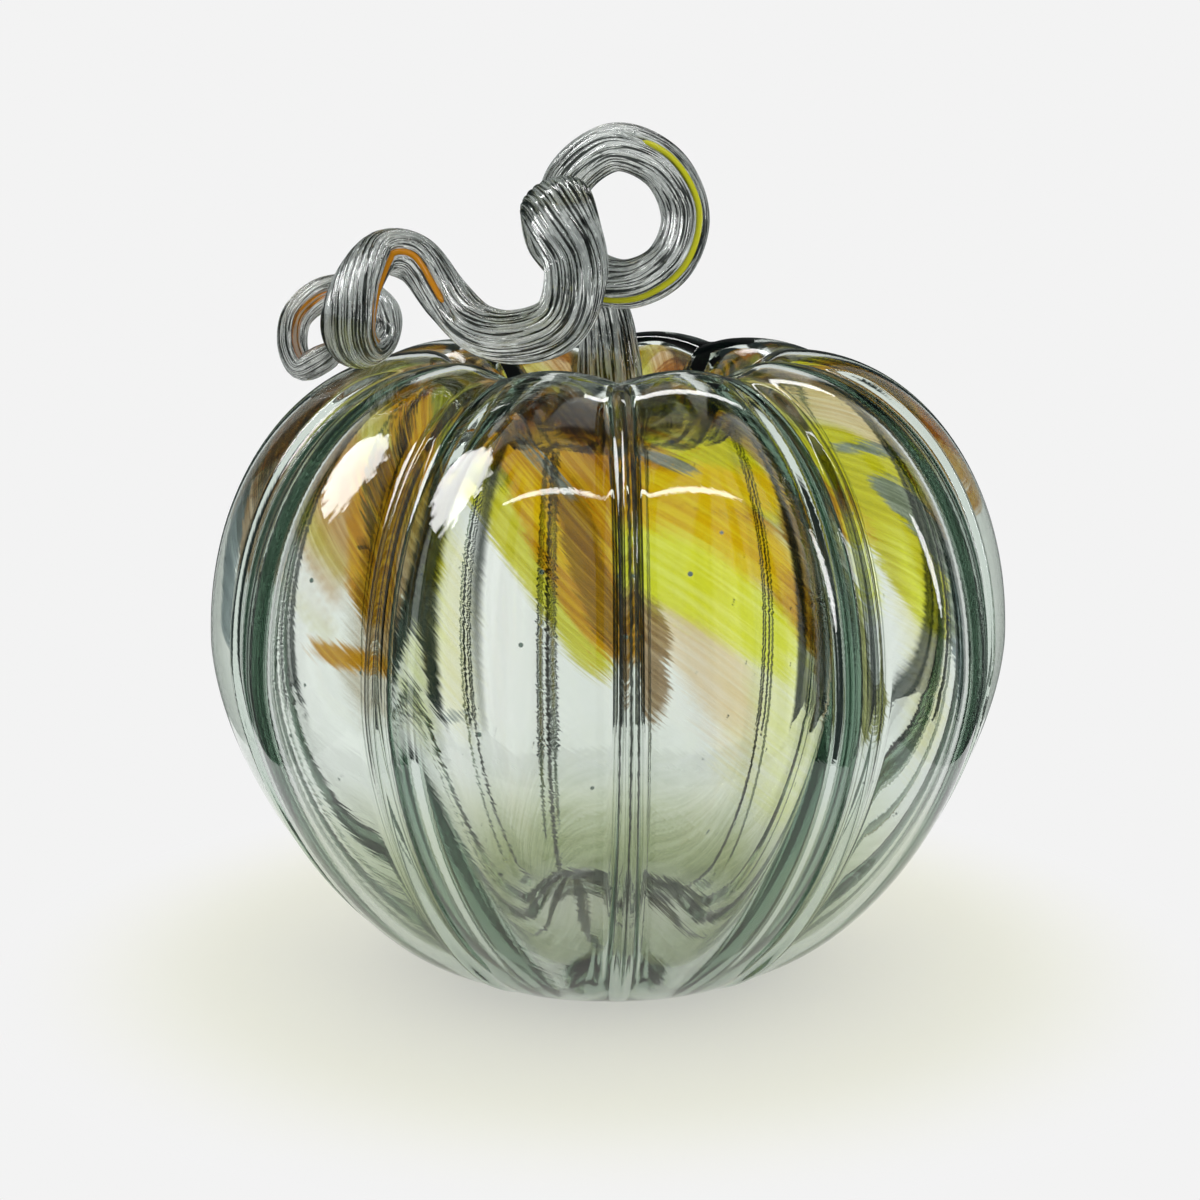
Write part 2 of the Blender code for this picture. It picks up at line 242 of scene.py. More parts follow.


# Body: a first gather with colour chips melted into its upper half, cased in smoky clear glass and
# blown in a ribbed mould to ten lobes, with a round rib in each valley. One fused wall, open at the
# neck and thicker at the ribs and the kicked-up base. Colour, of which the mauve is a painted reflection,
# smoke with painted shade toward the foot, and dark rib lines of painted shade lie on its inside.
LOBES = 10
STEPS_PER_LOBE = 44
RIB_CROWDING = 1.35
FIRST_RIB = math.radians(-87.5)
BODY_RADIUS = 0.080
EQUATOR_HEIGHT = 0.068
CREST_HEIGHT = 0.125
CREST_RADIUS = 0.036
SHOULDER_POWER = 2.06
BELLY_POWER = 1.68
FOOT_OUTER_RADIUS = 0.026
FOOT_INNER_RADIUS = 0.017
KICK_UP = 0.012
DIP_FLOOR_HEIGHT = 0.110
DIP_FLOOR_RADIUS = 0.016
NECK_RADIUS = 0.009
VALLEY_DEPTH = 0.0050
RIB_HEIGHT = 0.0028
RIB_HALF_WIDTH = 0.0015
RIB_STARTS = 0.034
RIB_FULL = 0.054
PRESS_STARTS = 0.016
PRESS_LENGTH = 0.018
PRESS_HEIGHT = 0.012
NEVER_ZERO = 1e-9
WALL = 0.0032
WALL_AT_RIBS = 0.0030
BASE_RISE = 0.0030
FLOOR_KICK = 0.75
# Rows of each grid on the neck's floor, the dip, the shoulder, the belly, the foot ring and the kick-up.
OUTSIDE_ROWS = (2, 14, 40, 44, 3, 8)
INSIDE_ROWS = (2, 12, 56, 36, 2, 7)


def smooth(value):
    """0 below 0, 1 above 1, with level ends."""
    value = np.clip(value, 0.0, 1.0)
    return value * value * (3.0 - 2.0 * value)


def half_section(neck_rows, dip_rows, shoulder_rows, belly_rows, foot_rows, kick_rows):
    """Radius and height down the outside: a level floor, a half cosine up to the crest, a superellipse
    quarter to the equator, another to the foot, the flat foot ring, and a half cosine up to the axis."""
    floor_radius = np.linspace(NECK_RADIUS, DIP_FLOOR_RADIUS, neck_rows, endpoint=False)
    share = np.linspace(0.0, 1.0, dip_rows, endpoint=False)
    dip_radius = DIP_FLOOR_RADIUS + (CREST_RADIUS - DIP_FLOOR_RADIUS) * share
    dip_height = DIP_FLOOR_HEIGHT + (CREST_HEIGHT - DIP_FLOOR_HEIGHT) * (0.5 - 0.5 * np.cos(np.pi * share))
    turn = np.linspace(0.0, np.pi / 2, shoulder_rows, endpoint=False)
    shoulder_radius = CREST_RADIUS + (BODY_RADIUS - CREST_RADIUS) * np.sin(turn) ** (2 / SHOULDER_POWER)
    shoulder_height = EQUATOR_HEIGHT + (CREST_HEIGHT - EQUATOR_HEIGHT) * np.cos(turn) ** (2 / SHOULDER_POWER)
    turn = np.linspace(0.0, np.pi / 2, belly_rows)
    drawn_in = np.abs(np.cos(turn)) ** (2 / BELLY_POWER)
    belly_radius = FOOT_OUTER_RADIUS + (BODY_RADIUS - FOOT_OUTER_RADIUS) * drawn_in
    belly_height = EQUATOR_HEIGHT * (1.0 - np.sin(turn) ** (2 / BELLY_POWER))
    foot_radius = np.linspace(FOOT_OUTER_RADIUS, FOOT_INNER_RADIUS, foot_rows + 1, endpoint=False)[1:]
    share = np.linspace(0.0, 1.0, kick_rows)
    kick_radius = FOOT_INNER_RADIUS * (1.0 - share)
    kick_height = KICK_UP * (0.5 - 0.5 * np.cos(np.pi * share))
    radius = np.concatenate([floor_radius, dip_radius, shoulder_radius,
                             belly_radius, foot_radius, kick_radius])
    height = np.concatenate([np.full(neck_rows, DIP_FLOOR_HEIGHT), dip_height, shoulder_height,
                             belly_height, np.zeros(foot_rows), kick_height])
    return radius, height


def lobe_angles():
    """Angle round the axis, crowded toward the ribs, and each step's distance from its rib in lobes."""
    share = np.arange(STEPS_PER_LOBE) / STEPS_PER_LOBE
    near = np.minimum(share, 1.0 - share)
    crowded = 0.5 * (2.0 * near) ** RIB_CROWDING
    in_lobe = np.where(share <= 0.5, crowded, 1.0 - crowded)
    angle = FIRST_RIB + 2 * np.pi / LOBES * (np.arange(LOBES)[:, None] + in_lobe[None, :])
    return angle.ravel(), np.tile(crowded, LOBES)


def pressed(radius, height, angle, from_rib, rib_height):
    """The turned surface in the ribbed mould: valleys sink with the square of the way from the middle of
    a lobe, a bell-shaped rib stands in each, and both fade out at the neck and the foot."""
    lobe = 2 * np.pi / LOBES
    valley = VALLEY_DEPTH * radius / BODY_RADIUS * (1.0 - 2.0 * from_rib) ** 2
    rib = rib_height * np.exp(-((radius * lobe * from_rib / RIB_HALF_WIDTH) ** 2))
    fade = smooth((radius - RIB_STARTS) / (RIB_FULL - RIB_STARTS))
    rib = rib * np.where(height > EQUATOR_HEIGHT, fade, 1.0)
    ease = smooth((radius - PRESS_STARTS) / PRESS_LENGTH) * smooth(height / PRESS_HEIGHT)
    out = np.maximum(radius - CREST_RADIUS, 0.0)
    up = height - EQUATOR_HEIGHT
    reach = np.hypot(out, up) + NEVER_ZERO
    shift = ease * (rib - valley)
    new_radius = radius + shift * out / reach
    new_height = height + shift * up / reach
    return np.stack([new_radius * np.cos(angle), new_radius * np.sin(angle), new_height], axis=-1)


def ring_values(grid):
    """Values on rings from pole to pole in the order of the vertices: one at each pole, all between."""
    return np.concatenate([grid[0, :1], grid[1:-1].reshape(-1, grid.shape[-1]), grid[-1, :1]])


def closed_round(points):
    """Vertices and faces of rings from pole to pole: the first and last rings are single points."""
    rings, steps = points.shape[:2]
    verts = ring_values(points)
    column = np.arange(steps)
    next_column = (column + 1) % steps
    row = 1 + steps * np.arange(rings - 3)[:, None]
    below = row + steps
    quads = np.stack([row + column, below + column, below + next_column, row + next_column], axis=-1)
    last = len(verts) - 1
    top = np.stack([np.zeros(steps, int), 1 + column, 1 + next_column], axis=-1)
    start = 1 + steps * (rings - 3)
    bottom = np.stack([start + column, np.full(steps, last), start + next_column], axis=-1)
    return verts, top.tolist() + quads.reshape(-1, 4).tolist() + bottom.tolist()


# The inside follows the outside at the depth of the wall, without ribs, over a floor of its own.
outer_radius, outer_height = half_section(*OUTSIDE_ROWS)
guide_radius, guide_height = half_section(*INSIDE_ROWS)
under_kick = (guide_radius < FOOT_INNER_RADIUS) & (guide_height < EQUATOR_HEIGHT)
guide_height = np.where(under_kick, FLOOR_KICK * guide_height, guide_height)
angle, from_rib = lobe_angles()
slope = np.stack([np.gradient(guide_radius), np.gradient(guide_height)])
slope = slope / np.linalg.norm(slope, axis=0)
inward = np.stack([slope[1], -slope[0]])
toward_rib = 0.5 + 0.5 * np.cos(2 * np.pi * from_rib)
wall_depth = WALL + WALL_AT_RIBS * guide_radius[:, None] / BODY_RADIUS * toward_rib
base_rise = BASE_RISE * smooth(1.0 - guide_height / EQUATOR_HEIGHT)[:, None]
inner_radius = guide_radius[:, None] + inward[0][:, None] * wall_depth
inner_height = guide_height[:, None] + inward[1][:, None] * wall_depth + base_rise
inner_radius[0] = NECK_RADIUS
inner_height[0] = DIP_FLOOR_HEIGHT - WALL
inner_radius[-1] = 0.0
inner_height[-1] = FLOOR_KICK * KICK_UP + WALL + BASE_RISE
inside_points = pressed(inner_radius, inner_height, angle, from_rib, rib_height=0.0)
outside_points = pressed(outer_radius[:, None], outer_height[:, None], angle, from_rib, RIB_HEIGHT)
body_verts, body_faces = closed_round(np.concatenate([inside_points[::-1], outside_points]))

# Colours on the inside. Ways are in millimetres up from the equator, azimuths in degrees from the front.
CLEAR = np.array((0.99, 0.995, 0.985))
# Smoke toward the foot, darkened partly as painted shade where the piece meets the table.
FOOT_SMOKE_AND_SHADE = np.array((0.50, 0.55, 0.32))
FOOT_RING_WAY = -88.0
FOOT_RING_SPREAD = 22.0
FLOOR_SHARE = 0.35
FLOOR_SMOKE_AND_SHADE_FROM = -40.0
FLOOR_SMOKE_AND_SHADE_LENGTH = 60.0
AMBER_DUST = np.array((0.52, 0.26, 0.004))
LIME_DUST = np.array((0.58, 0.56, 0.01))
DUST_EAST = 0.37
DUST_UP = 0.4
DUST_CONTRAST = 0.4
DUST_SEED = 2.2
HAZE_STRENGTH = 0.85
HAZE_AZIMUTHS = (-180, -90, -70, -55, -43, -34, -28, -20, -12, -2, 8, 16, 25, 33, 42, 56, 68, 85, 180)
HAZE_EDGES = (76, 60, 34, 24, 10, 30, 24, 40, 34, 14, 12, 10, 16, 22, 24, 14, 18, 56, 76)
HAZE_WOBBLE = 3.0
HAZE_SEED = 0.4
HAZE_SOFTNESS = 16.0
HAZE_TOP = 92.0
HAZE_TOP_FADE = 10.0
# Colours of the chips in the order they lie, each with how far it covers and how soft its edge is, in mm.
# The mauve chip is a painted reflection: a pinkish-grey veil where the ceiling mirrors in the glass.
CHIPS = {
    "cream": ((0.92, 0.88, 0.52), 0.70, 3.0), "peach": ((0.86, 0.68, 0.42), 0.75, 2.5),
    "pale_lime": ((0.91, 0.93, 0.48), 0.75, 3.5), "mauve": ((0.46, 0.37, 0.22), 0.55, 2.5),
    "lime": ((0.64, 0.60, 0.006), 0.94, 1.3), "olive": ((0.24, 0.25, 0.014), 0.85, 0.8),
    "amber": ((0.58, 0.30, 0.002), 0.96, 1.1), "gold": ((0.82, 0.56, 0.008), 0.92, 1.6),
    "rust": ((0.38, 0.15, 0.003), 0.80, 1.4), "brown": ((0.27, 0.14, 0.004), 0.82, 0.7),
    "bright_lime": ((0.86, 0.88, 0.08), 0.92, 2.4), "slate": ((0.17, 0.23, 0.25), 0.82, 0.6),
}
# Strokes of colour: chip, azimuth and way up at both ends, half width in millimetres. Most front strokes
# were picked on the photo and turned into these round numbers with the fitted camera.
STROKES = (
    ("amber", 78, 66, 96, 40, 6), ("lime", 92, 70, 110, 42, 5), ("olive", 118, 74, 136, 56, 4),
    ("amber", 140, 72, 156, 50, 5), ("lime", 164, 74, 180, 54, 4), ("amber", 190, 74, 206, 56, 5),
    ("slate", 212, 70, 226, 50, 2), ("lime", 228, 74, 246, 48, 5), ("amber", 250, 68, 266, 40, 6),
    # The slate strokes near azimuths -84, -68 and 70 darken the glass toward its left and right outline.
    ("brown", 270, 60, 284, 32, 5), ("slate", -84, 40, -76, 4, 2), ("slate", 68, 30, 74, 0, 2),
    ("slate", -68, 50, -58, 22, 2.6), ("brown", -63, 41, -64, 22, 1.2),
    ("olive", -63, 58, -51, 68, 3.6), ("amber", -48, 64, -38, 50, 2.7),
    ("brown", -38, 44, -34, 20, 4.0), ("amber", -40, 41, -38, 26, 3.6),
    ("mauve", -36, 19, -36, 8, 4.0), ("amber", -42, 9, -33, 8, 1.4),
    ("olive", -34, 61, -23, 52, 3.6), ("brown", -33, 66, -25, 73, 1.6),
    ("brown", -25, 73, -9, 62, 2.0), ("mauve", -26, 61, -16, 59, 2.0),
    ("brown", -30, 47, -30, 26, 2.0), ("lime", -28, 42, -26, 27, 1.6),
    ("lime", -22, 50, -14, 47, 2.7), ("amber", -17, 51, -10, 46, 2.3),
    ("amber", -14, 57, 0, 46, 5.5), ("lime", -16, 40, -11, 37, 2.7),
    ("lime", -16, 38, -1, 14, 2.3), ("amber", -10, 44, -1, 22, 4.3),
    ("brown", -6, 40, -0, 19, 2.3), ("slate", -16, 55, -7, 44, 0.7),
    ("cream", -23, 28, -20, 8, 2.7), ("amber", 1, 57, 10, 40, 5.4),
    ("amber", -2, 55, 0, 33, 2.7), ("lime", 7, 57, 15, 51, 2.7),
    ("lime", 19, 61, 22, 47, 3.0), ("gold", 12, 46, 21, 43, 3.0),
    ("gold", 12, 37, 20, 31, 3.4), ("lime", 4, 32, 8, 30, 2.3),
    ("brown", 4, 30, 6, 9, 2.7), ("bright_lime", 10, 28, 18, 20, 4.5),
    ("cream", 19, 18, 19, 2, 4.5), ("amber", 20, 34, 29, 16, 2.7),
    ("peach", 11, 18, 15, 7, 3.6), ("brown", 28, 35, 32, -4, 2.3),
    ("olive", -2, 77, 27, 79, 1.2), ("olive", 6, 68, 30, 61, 2.0),
    ("slate", 2, 59, 12, 49, 0.8), ("slate", 20, 73, 26, 60, 1.1),
    ("brown", 24, 56, 30, 44, 2.3), ("mauve", 22, 41, 28, 35, 2.7),
    ("peach", 50, 79, 54, 52, 4.5), ("lime", 36, 63, 40, 52, 2.0),
    ("lime", 36, 50, 51, 42, 3.0), ("lime", 47, 44, 51, 23, 4.5),
    ("amber", 36, 46, 41, 37, 2.3), ("bright_lime", 42, 36, 42, 21, 0.9),
    ("bright_lime", 48, 28, 50, 14, 0.9), ("slate", 46, 52, 55, 46, 0.8),
    ("slate", 50, 39, 61, 13, 2.1), ("olive", 38, 20, 41, -6, 2.4),
    ("cream", 49, 23, 50, -9, 2.7), ("slate", 56, 14, 58, -5, 2.3),
    ("brown", 61, 50, 62, 14, 1.2), ("slate", -21.6, 0.6, -19.4, 1.1, 0.4),
    ("pale_lime", 24, 22, 25, -10, 4.5), ("pale_lime", -28, 36, -26, 6, 3.2),
    ("rust", -15, 67, -3, 55, 2.4), ("gold", -14, 46, -6, 32, 1.4),
)
STROKE_SPREAD = 1.5
STROKE_ENDS = (0.1, 0.9)
STREAK_WOBBLE = 0.22
STREAK_SEED_STEP = 1.3
END_TAPER = 0.42
LEAST_HALF_WIDTH = 0.6
FAR_OFF = -8.0
TWIST_LENGTH = 70.0
DRAWN_OUT = 0.07
DRIFT_EAST = 0.70
DRIFT_DOWN = 0.72
# Waves of the wisps: height, pitch across, bend, pitch of the bend, and the seed's share in bend and wave.
WISP_WAVES = (
    (1.0, 0.42, 2.0, 0.055, 1.0, 1.0),
    (0.6, 0.95, 1.6, 0.09, 2.1, 1.7),
    (0.35, 1.9, 1.2, 0.16, 0.7, 3.1),
)


def way_up_from_equator(radius, height):
    """Way along a section from its widest place, in millimetres, positive upward."""
    way = np.concatenate([[0.0], np.cumsum(np.hypot(np.diff(radius), np.diff(height)))])
    return ((way[int(np.argmax(radius))] - way) * 1000.0)[:, None]


def wisps(east, north, seed):
    """Streaks that run with the colour, from upper left to lower right: sines across the drift, each
    bent by a slower sine along it."""
    across = DRIFT_DOWN * east + DRIFT_EAST * north
    down = DRIFT_EAST * east - DRIFT_DOWN * north
    streaks = 0.0
    for size, pitch, bend, slow_pitch, bend_seed, wave_seed in WISP_WAVES:
        bent = bend * np.sin(down * slow_pitch + bend_seed * seed)
        streaks = streaks + size * np.sin(across * pitch + bent + wave_seed * seed)
    return streaks


way_up = way_up_from_equator(guide_radius, guide_height)
azimuth = (np.degrees(angle) + 90.0 + 180.0) % 360.0 - 180.0
ring_radius = guide_radius[:, None] * 1000.0
east_of_front = np.radians(azimuth)[None, :] * TWIST_LENGTH + 0 * way_up
# Dust: an amber and lime haze on the upper part, clear glass below it, and toward the foot smoke that is
# partly painted shade of the contact with the table.
haze_edge = np.interp(azimuth, HAZE_AZIMUTHS, HAZE_EDGES)[None, :]
haze_edge = haze_edge + HAZE_WOBBLE * wisps(east_of_front, way_up, HAZE_SEED)
haze = smooth((way_up - haze_edge) / HAZE_SOFTNESS) * (1.0 - smooth((way_up - HAZE_TOP) / HAZE_TOP_FADE))
haze = HAZE_STRENGTH * haze[..., None]
dust_wisps = wisps(DUST_EAST * east_of_front, DUST_UP * way_up, DUST_SEED)
amber_part = smooth(0.5 + DUST_CONTRAST * dust_wisps)[..., None]
at_foot_ring = np.exp(-(((way_up - FOOT_RING_WAY) / FOOT_RING_SPREAD) ** 2))
on_floor = FLOOR_SHARE * smooth((FLOOR_SMOKE_AND_SHADE_FROM - way_up) / FLOOR_SMOKE_AND_SHADE_LENGTH)
foot_smoke_and_shade = np.maximum(at_foot_ring, on_floor)[..., None]
clear = CLEAR * (1.0 - foot_smoke_and_shade) + FOOT_SMOKE_AND_SHADE * foot_smoke_and_shade
dust = clear * (1.0 - haze) + (AMBER_DUST * amber_part + LIME_DUST * (1.0 - amber_part)) * haze

# How far each place lies within the strokes of each chip, in millimetres.
within = {chip: np.full(haze_edge.shape, FAR_OFF) for chip in CHIPS}
for number, (chip, start_azimuth, start_up, end_azimuth, end_up, half_width) in enumerate(STROKES):
    east = np.radians((azimuth[None, :] - start_azimuth + 180.0) % 360.0 - 180.0) * ring_radius
    north = way_up - start_up
    end_east = math.radians(end_azimuth - start_azimuth) * TWIST_LENGTH
    end_north = end_up - start_up
    stroke_length = math.hypot(end_east, end_north)
    down_stroke = (east * end_east + north * end_north) / stroke_length
    off_stroke = (north * end_east - east * end_north) / stroke_length
    full_part = np.clip(down_stroke, STROKE_ENDS[0] * stroke_length, STROKE_ENDS[1] * stroke_length)
    off = np.hypot(off_stroke, END_TAPER * (down_stroke - full_part))
    half_width = max(half_width, LEAST_HALF_WIDTH)
    off = off + STREAK_WOBBLE * half_width * wisps(east_of_front, way_up, STREAK_SEED_STEP * number)
    within[chip] = np.maximum(within[chip], STROKE_SPREAD * half_width - off)

# Place beside the nearest rib: millimetres round the body from it, and 1 on it to -1 between two.
lobe_turn = LOBES * (angle - FIRST_RIB)
round_from_rib = ring_radius / LOBES * np.sin(lobe_turn)
beside_rib = np.stack(np.broadcast_arrays(round_from_rib, np.cos(lobe_turn), 0.0), axis=-1)


def drawn_grain(up):
    """Coordinates in which glass drawn round the body is plain: a circle of the twisted azimuth, and
    the way up made short."""
    twist = np.radians(azimuth)[None, :] + up / TWIST_LENGTH
    circle = (TWIST_LENGTH * np.cos(twist), TWIST_LENGTH * np.sin(twist))
    return np.stack(np.broadcast_arrays(*circle, DRAWN_OUT * up), axis=-1)


def on_body(inside_values, outside_values):
    """Values of the inside and outside grids in the order of the body's vertices."""
    return ring_values(np.concatenate([inside_values[::-1], outside_values]))


outside_shape = (len(outer_radius), len(angle))
outside_up = way_up_from_equator(outer_radius, outer_height)
outside_clear = np.ones((*outside_shape, 3)) * CLEAR
outside_far = np.full((*outside_shape, 3), FAR_OFF)
# Three chips share one vector on each vertex.
chip_names = list(CHIPS)
chip_groups = [chip_names[first:first + 3] for first in range(0, len(chip_names), 3)]

body_mesh = bpy.data.meshes.new("glass_body")
body_mesh.from_pydata(body_verts.tolist(), [], body_faces)
body_mesh.shade_smooth()
store(body_mesh, "dust", on_body(dust, outside_clear))
store(body_mesh, "grain", on_body(drawn_grain(way_up), drawn_grain(outside_up)))
store(body_mesh, "beside_rib", on_body(beside_rib, outside_far))
inside_layer = body_mesh.attributes.new("inside", "FLOAT", "POINT")
inside_flag = on_body(np.ones((*haze_edge.shape, 1)), np.zeros((*outside_shape, 1)))
inside_layer.data.foreach_set("value", inside_flag.astype(np.float32).ravel())
for group in chip_groups:
    group_within = np.stack([within[chip] for chip in group], axis=-1)
    store(body_mesh, "_".join(group), on_body(group_within, outside_far))

SMOKE = (0.48, 0.62, 0.53, 1.0)
SMOKE_DENSITY = 46.0
STRAND_SCALE = 0.70
STRAND_EDGE = (0.30, 0.70)
STRAND_THIN = 1.6
STRAND_THICK = 2.6
FUR_SCALE = 1.5
FUR_LENGTH = 4.0
RIB_SHADE_COLOUR = (0.015, 0.020, 0.015, 1.0)
RIB_SHADE_COVER = 0.90
RIB_SHADE_EDGE = (0.40, 0.85)
RIB_SHADE_SCALE = 0.45
RIB_SHADE_WANDER = 1.2
ON_RIB = (0.0, 0.3)
CHILL_SCALE = 0.7
CHILL_DEPTH = 0.000009
RIPPLE_SCALE = 1.3
RIPPLE_DEPTH = 0.000007
SEED_SCALE = 140.0
SEED_EDGE = (0.05, 0.08)
SEED_COLOUR = (0.03, 0.05, 0.04, 1.0)

body_glass, glass = fresh_material("smoky_cased_glass")
is_inside = glass.node("ShaderNodeAttribute", {"attribute_name": "inside"}, output="Fac")
stain = glass.node("ShaderNodeAttribute", {"attribute_name": "dust"}, output="Vector")
drawn = glass.node("ShaderNodeAttribute", {"attribute_name": "grain"}, output="Vector")
# The chips lie over the dust, each with a ragged edge drawn out along the grain.
fur = glass.node("ShaderNodeTexNoise", inputs={
    "Vector": drawn, "Scale": FUR_SCALE, "Detail": 3.0, "Distortion": 0.4})
fringe = (fur - 0.5) * FUR_LENGTH
for group in chip_groups:
    depths = glass.node("ShaderNodeAttribute", {"attribute_name": "_".join(group)}, output="Vector")
    depths = glass.node("ShaderNodeSeparateXYZ", inputs={0: depths})
    for axis, chip in enumerate(group):
        colour, cover, softness = CHIPS[chip]
        patch = (depths.other(axis) + fringe).step(-softness, softness) * cover
        stain = patch.mix(stain, (*colour, 1.0))
# Painted shade: a dark line wanders along the middle of each rib, standing in for the dark edge that light
# bent by the rib shows.
shade_line_place = glass.node("ShaderNodeAttribute", {"attribute_name": "beside_rib"}, output="Vector")
shade_line_place = glass.node("ShaderNodeSeparateXYZ", inputs={0: shade_line_place})
shade_line_wander = glass.node("ShaderNodeTexNoise", inputs={"Vector": drawn, "Scale": RIB_SHADE_SCALE, "Detail": 2.0})
off_shade_line = glass.math("ABSOLUTE", shade_line_place + (shade_line_wander - 0.5) * RIB_SHADE_WANDER)
painted_rib_shade = (1.0 - off_shade_line.step(*RIB_SHADE_EDGE)) * shade_line_place.other(1).step(*ON_RIB)
stain = (painted_rib_shade * RIB_SHADE_COVER).mix(stain, RIB_SHADE_COLOUR)
# Strands of thinner and thicker colour, chill marks inside, ripples outside and small bubbles.
strands = glass.node("ShaderNodeTexNoise", inputs={
    "Vector": drawn, "Scale": STRAND_SCALE, "Detail": 3.0, "Distortion": 0.5})
thickness = STRAND_THIN + (STRAND_THICK - STRAND_THIN) * strands.step(*STRAND_EDGE)
stain = glass.node("ShaderNodeGamma", inputs={"Color": stain, "Gamma": thickness})
wrinkle = glass.node("ShaderNodeTexNoise", inputs={
    "Vector": drawn, "Scale": CHILL_SCALE, "Detail": 1.0, "Distortion": 0.4})
ripple = glass.node("ShaderNodeTexNoise", inputs={"Vector": drawn, "Scale": RIPPLE_SCALE, "Detail": 2.0})
surface = wrinkle * is_inside * CHILL_DEPTH + ripple * (1.0 - is_inside) * RIPPLE_DEPTH
relief = glass.node("ShaderNodeBump", inputs={"Height": surface, "Distance": 1.0, "Strength": 1.0})
spot = glass.node("ShaderNodeTexCoord", output="Object")
seeds = glass.node("ShaderNodeTexVoronoi", inputs={"Vector": spot, "Scale": SEED_SCALE}, output="Distance")
stain = (seeds.step(*SEED_EDGE) + (1.0 - is_inside)).mix(SEED_COLOUR, stain)
wall = glass.node("ShaderNodeBsdfPrincipled", inputs={
    "Base Color": stain, "Roughness": 0.0, "IOR": 1.5, "Transmission Weight": 1.0, "Normal": relief})
smoke = glass.node("ShaderNodeVolumeAbsorption", inputs={"Color": SMOKE, "Density": SMOKE_DENSITY})
glass.node("ShaderNodeOutputMaterial", inputs={"Surface": wall, "Volume": smoke})
body_mesh.materials.append(body_glass)
body = bpy.data.objects.new("glass_body", body_mesh)
scene.collection.objects.link(body)
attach(body, "root")
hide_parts("outer_casing", "colour_bubble")


# Stem: one solid cane of grey-green glass, drawn through a ribbed mould, twisted and wound hot over
# the neck into a ring, a front loop, an arch and a last curl. Its foot is fused over the neck. The
# route was picked on the photo with guessed depths, and turned into metres with the fitted camera.
STEM_ROUTE = (
    (0.0000, 0.0000, 0.1170),
    (-0.0001, 0.0000, 0.1240),
    (-0.0007, 0.0025, 0.1307),
    (-0.0039, 0.0060, 0.1393),
    (-0.0090, 0.0075, 0.1485),
    (-0.0078, 0.0060, 0.1584),
    (0.0011, 0.0035, 0.1645),
    (0.0106, 0.0005, 0.1606),
    (0.0147, -0.0030, 0.1513),
    (0.0113, -0.0070, 0.1425),
    (0.0032, -0.0105, 0.1389),
    (-0.0049, -0.0130, 0.1418),
    (-0.0100, -0.0145, 0.1484),
    (-0.0104, -0.0190, 0.1548),
    (-0.0088, -0.0280, 0.1518),
    (-0.0063, -0.0335, 0.1434),
    (-0.0089, -0.0355, 0.1344),
    (-0.0167, -0.0345, 0.1312),
    (-0.0244, -0.0305, 0.1323),
    (-0.0307, -0.0240, 0.1374),
    (-0.0367, -0.0195, 0.1442),
    (-0.0433, -0.0200, 0.1454),
    (-0.0474, -0.0250, 0.1400),
    (-0.0490, -0.0275, 0.1325),
    (-0.0480, -0.0200, 0.1274),
    (-0.0450, -0.0090, 0.1276),
    (-0.0444, -0.0010, 0.1318),
    (-0.0499, 0.0040, 0.1357),
    (-0.0568, 0.0055, 0.1356),
    (-0.0621, 0.0050, 0.1315),
    (-0.0632, 0.0040, 0.1258),
    (-0.0612, 0.0030, 0.1214),
    (-0.0567, 0.0022, 0.1233),
    (-0.0533, 0.0017, 0.1259),
)
STEPS_BETWEEN_KNOTS = 24
STEM_STATIONS = 420
FRAME_STATIONS = 80
BEND_SPAN = 2
SHARP_BEND = 0.15
LEAST_WEIGHT = 1e-4
UPRIGHT_SHARE = 0.14
UPRIGHT_WEIGHT = 1e-6
EVENING_ROUNDS = 12
STEM_SIDES = 132
STEM_RIBS = 24
STEM_THICKNESS = 0.0095
STEM_WIDTH = 0.0140
STEM_FLARE = 0.42
STEM_FLARE_LENGTH = 0.010
STEM_TAPER_FROM = 0.53
STEM_TIP_SCALE = 0.58
STEM_RIB_DEPTH = 0.05
RIB_LOSS_AT_FLARE = 0.5
STEM_TWIST = math.radians(62)
STEM_GAP = 0.0003
STEM_SEAT = DIP_FLOOR_HEIGHT + STEM_GAP
FOOT_RADII = np.array([0.0, 8.3, 8.3, 11.6, 12.5, 12.4, 11.2, 9.2, 7.6]) / 1000
FOOT_RISES = np.array([-3.6, -3.6, 0.0, 0.0, 0.6, 1.6, 2.8, 4.0, 5.2]) / 1000
THREAD_GROOVE = 0.30
THREAD_GROOVE_WIDTH = 0.20
GROOVE_RUN_OUT = 0.02
LIME_SIDE = 2 * np.pi * 1 / STEM_RIBS
LIME_SPAN = (0.214, 0.369)
AMBER_SIDE = 2 * np.pi * 23 / STEM_RIBS
AMBER_SPAN = (0.612, 0.787)


def even_curve(knots, count):
    """Evenly spaced points on a Catmull-Rom curve, a cubic between each two knots with its slopes taken
    from the knots on either side, and the length of the curve."""
    padded = np.vstack([2 * knots[0] - knots[1], knots, 2 * knots[-1] - knots[-2]])
    share = np.linspace(0.0, 1.0, STEPS_BETWEEN_KNOTS, endpoint=False)[None, :, None]
    before, start, end, after = (padded[first:len(padded) - 3 + first, None, :] for first in range(4))
    fine = 0.5 * (2 * start + (end - before) * share
                  + (2 * before - 5 * start + 4 * end - after) * share ** 2
                  + (3 * start - before - 3 * end + after) * share ** 3)
    fine = np.vstack([fine.reshape(-1, 3), knots[-1:]])
    way = np.concatenate([[0.0], np.cumsum(np.linalg.norm(np.diff(fine, axis=0), axis=1))])
    even = np.linspace(0.0, way[-1], count)
    return np.column_stack([np.interp(even, way, fine[:, axis]) for axis in range(3)]), way[-1]


def directions(centres):
    """Unit tangents along a row of points."""
    tangents = np.gradient(centres, axis=0)
    return tangents / np.linalg.norm(tangents, axis=1)[:, None]


def evened(values):
    """Each value averaged with its two neighbours."""
    return np.convolve(np.pad(values, 1, mode="edge"), np.ones(3) / 3, mode="valid")


